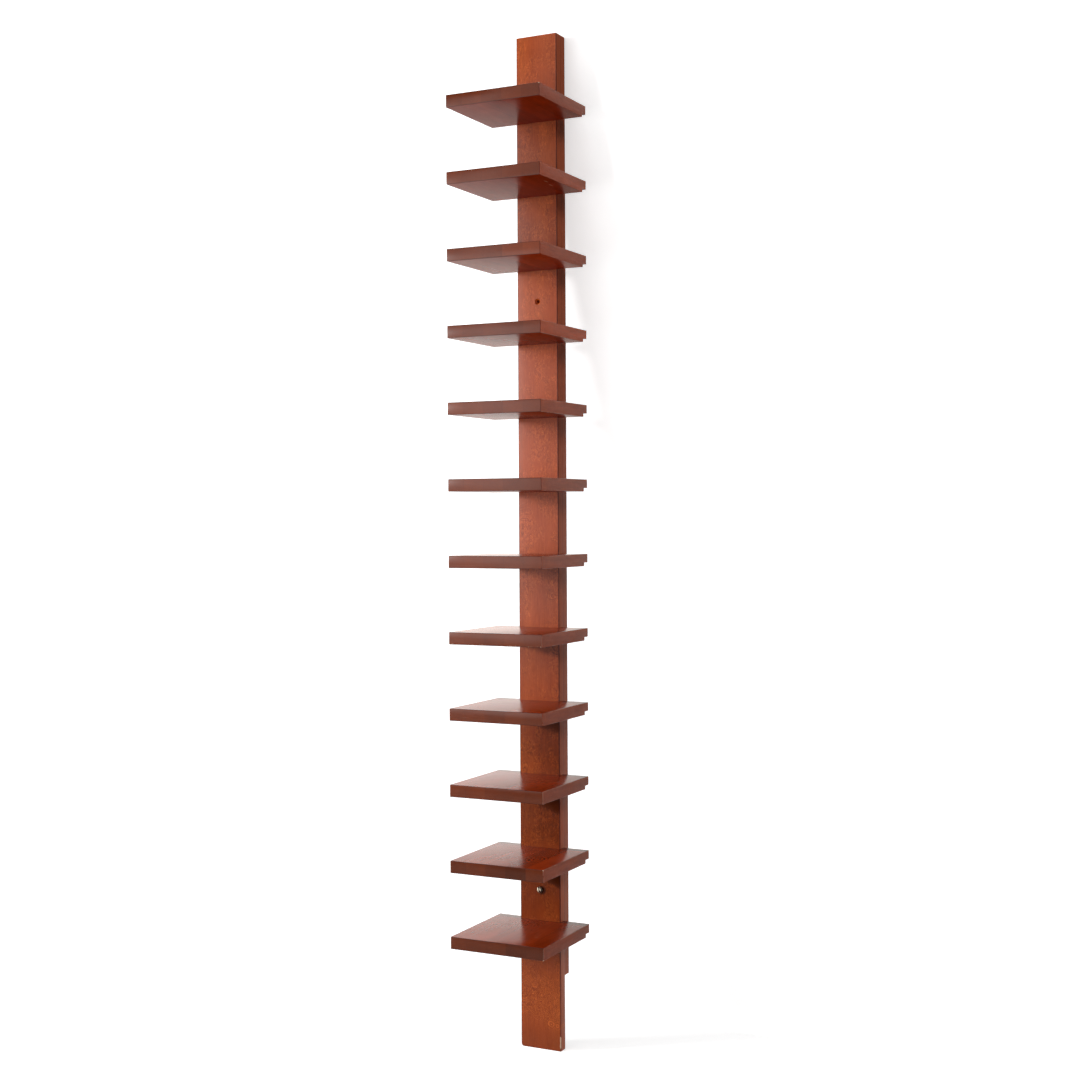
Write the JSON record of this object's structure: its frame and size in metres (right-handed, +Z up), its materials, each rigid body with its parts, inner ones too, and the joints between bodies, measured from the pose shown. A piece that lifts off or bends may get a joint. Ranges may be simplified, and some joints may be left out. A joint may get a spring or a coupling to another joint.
{
  "type": "spine bookshelf",
  "caption": "Tall narrow bookshelf for stacks of lying books: square shelves housed one above another in a flat spine board that stands on the floor and is screwed to the wall.",
  "frame": {"origin": "on the axis of the upper wall hole, in the wall plane, which is the batten's back; the floor is 1.55225 m below it", "axes": "+Z up along the spine, +X to the right for a person who faces the shelves, and the front faces -Y, so the wall is at +Y"},
  "size_m": [0.208, 0.234, 2.1],
  "materials": {
    "spine_wood": "red-brown stain under satin lacquer",
    "shelf_wood": "red-brown stain under satin lacquer",
    "shelf_screw_steel": "yellow zinc plated",
    "wall_screw_steel": "bright steel, slightly tarnished"
  },
  "bodies": {
    "root": {"spine_board": "spine_wood", "wall_batten": "spine_wood", "wall_screw": "wall_screw_steel", "shelf_01": "shelf_wood", "shelf_01_screw": "shelf_screw_steel", "shelf_02": "shelf_wood", "shelf_02_screw": "shelf_screw_steel", "shelf_03": "shelf_wood", "shelf_03_screw": "shelf_screw_steel", "shelf_04": "shelf_wood", "shelf_04_screw": "shelf_screw_steel", "shelf_05": "shelf_wood", "shelf_05_screw": "shelf_screw_steel", "shelf_06": "shelf_wood", "shelf_06_screw": "shelf_screw_steel", "shelf_07": "shelf_wood", "shelf_07_screw": "shelf_screw_steel", "shelf_08": "shelf_wood", "shelf_08_screw": "shelf_screw_steel", "shelf_09": "shelf_wood", "shelf_09_screw": "shelf_screw_steel", "shelf_10": "shelf_wood", "shelf_10_screw": "shelf_screw_steel", "shelf_11": "shelf_wood", "shelf_11_screw": "shelf_screw_steel", "shelf_12": "shelf_wood", "shelf_12_screw": "shelf_screw_steel"}
  },
  "joints": []
}
